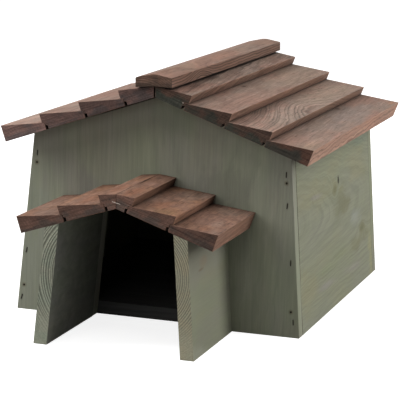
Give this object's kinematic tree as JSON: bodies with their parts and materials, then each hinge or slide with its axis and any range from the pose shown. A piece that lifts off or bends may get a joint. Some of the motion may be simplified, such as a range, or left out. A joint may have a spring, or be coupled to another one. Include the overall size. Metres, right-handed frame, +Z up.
{
  "type": "wooden hedgehog house",
  "caption": "Gabled wooden house for hedgehogs, with leaning painted walls, a roof of lapped feather-edge boards under a ridge cap, and an open porch over the doorway.",
  "frame": {"origin": "on the ground, under the middle of the overall length and width", "axes": "+X to the right as seen from the front, +Y from the porch to the back, +Z up"},
  "size_m": [0.4324, 0.662, 0.339],
  "materials": {
    "wall_paint": "matt sage wood paint",
    "floor_board": "matt thin wood paint",
    "roof_stain": "matt brown wood stain"
  },
  "bodies": {
    "root": {"front_wall": "wall_paint", "back_wall": "wall_paint", "left_wall": "wall_paint", "right_wall": "wall_paint", "porch_left_wall": "wall_paint", "porch_right_wall": "wall_paint", "floor": "floor_board", "ridge_cap": "roof_stain", "roof_board_left_1": "roof_stain", "roof_board_left_2": "roof_stain", "roof_board_left_3": "roof_stain", "roof_board_left_4": "roof_stain", "porch_board_left_1": "roof_stain", "porch_board_left_2": "roof_stain", "porch_board_left_3": "roof_stain", "roof_board_right_1": "roof_stain", "roof_board_right_2": "roof_stain", "roof_board_right_3": "roof_stain", "roof_board_right_4": "roof_stain", "porch_board_right_1": "roof_stain", "porch_board_right_2": "roof_stain", "porch_board_right_3": "roof_stain"}
  },
  "joints": []
}
